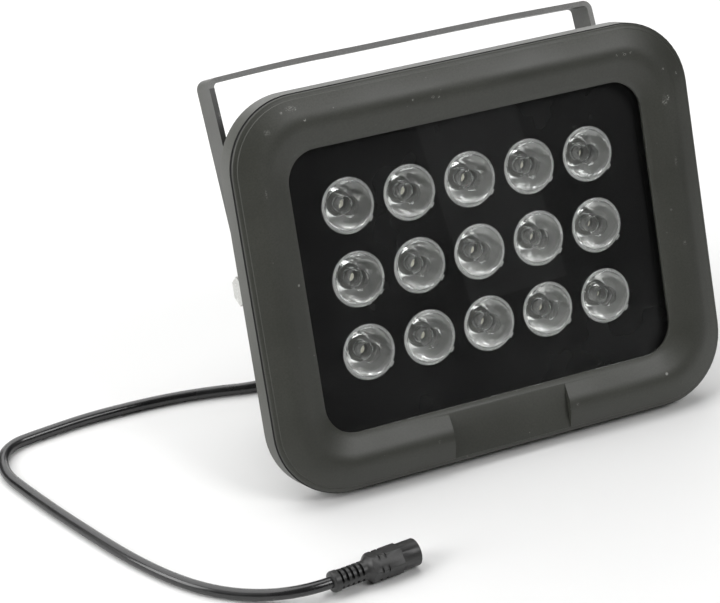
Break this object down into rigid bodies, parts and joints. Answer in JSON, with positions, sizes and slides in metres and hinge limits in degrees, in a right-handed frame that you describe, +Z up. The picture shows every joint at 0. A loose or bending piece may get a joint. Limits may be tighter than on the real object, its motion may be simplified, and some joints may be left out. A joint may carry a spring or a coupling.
{
  "type": "infrared illuminator",
  "caption": "Cast, finned infrared lamp with a raised bezel, a grid of clear lenses behind glass, a tilting U-bracket and a thin lead with a moulded socket.",
  "frame": {"origin": "middle of the lamp's footprint on the floor it leans back on, at floor level, without the free lead", "axes": "+Z up; +X along the rim's long side, to the right seen from the front; +Y from the lit front towards the fins, level"},
  "size_m": [0.2761, 0.1628, 0.1434],
  "materials": {
    "painted_casting": "matte dark grey powder coat on a cast aluminium wall",
    "painted_strip": "satin dark grey powder coat on steel strip",
    "clear_glass": "clear toughened glass",
    "clear_lens": "clear acrylic collimator",
    "black_sheet": "gloss black",
    "seal_rubber": "matte black",
    "emitter_package": "clear dome on a pale package",
    "board_aluminium": "white solder mask",
    "board_laminate": "green solder mask",
    "ferrite": "dark grey ferrite and epoxy",
    "can_aluminium": "sleeved can",
    "lead_wire": "insulated wire",
    "zinc_steel": "bright zinc plating",
    "gland_plastic": "black nylon",
    "cable_jacket": "glossy black jacket",
    "moulded_plastic": "satin black moulding",
    "contact_metal": "nickel-plated brass"
  },
  "bodies": {
    "lamp": {"front_bezel": "painted_casting", "housing": "painted_casting", "cover_glass": "clear_glass", "glass_gasket": "seal_rubber", "bezel_gasket": "seal_rubber", "lens_mask": "black_sheet", "lens_1": "clear_lens", "lens_2": "clear_lens", "lens_3": "clear_lens", "lens_4": "clear_lens", "lens_5": "clear_lens", "lens_6": "clear_lens", "lens_7": "clear_lens", "lens_8": "clear_lens", "lens_9": "clear_lens", "lens_10": "clear_lens", "lens_11": "clear_lens", "lens_12": "clear_lens", "lens_13": "clear_lens", "lens_14": "clear_lens", "lens_15": "clear_lens", "emitter_1": "emitter_package", "emitter_2": "emitter_package", "emitter_3": "emitter_package", "emitter_4": "emitter_package", "emitter_5": "emitter_package", "emitter_6": "emitter_package", "emitter_7": "emitter_package", "emitter_8": "emitter_package", "emitter_9": "emitter_package", "emitter_10": "emitter_package", "emitter_11": "emitter_package", "emitter_12": "emitter_package", "emitter_13": "emitter_package", "emitter_14": "emitter_package", "emitter_15": "emitter_package", "led_board": "board_aluminium", "led_board_screws": "zinc_steel", "driver_board": "board_laminate", "driver_board_screws": "zinc_steel", "driver_inductor": "ferrite", "driver_capacitors": "can_aluminium", "driver_chip": "ferrite", "led_leads": "lead_wire", "bezel_screws": "zinc_steel", "left_pivot_bolt": "zinc_steel", "right_pivot_bolt": "zinc_steel", "pivot_washers": "zinc_steel", "gland_body": "gland_plastic", "gland_nut": "gland_plastic", "gland_seal": "seal_rubber", "gland_lock_nut": "gland_plastic", "cable_tail": "cable_jacket", "cable": "cable_jacket", "connector_body": "moulded_plastic", "socket_pin": "contact_metal", "socket_sleeve": "contact_metal"},
    "bracket": {"bracket": "painted_strip"}
  },
  "joints": [
    {"name": "bracket_hinge", "type": "hinge", "parent": "lamp", "child": "bracket", "pos_m": [0, 0.00581, 0.06204], "axis": [-1, 0, 0], "range_deg": [-23.5, 93.4]}
  ]
}
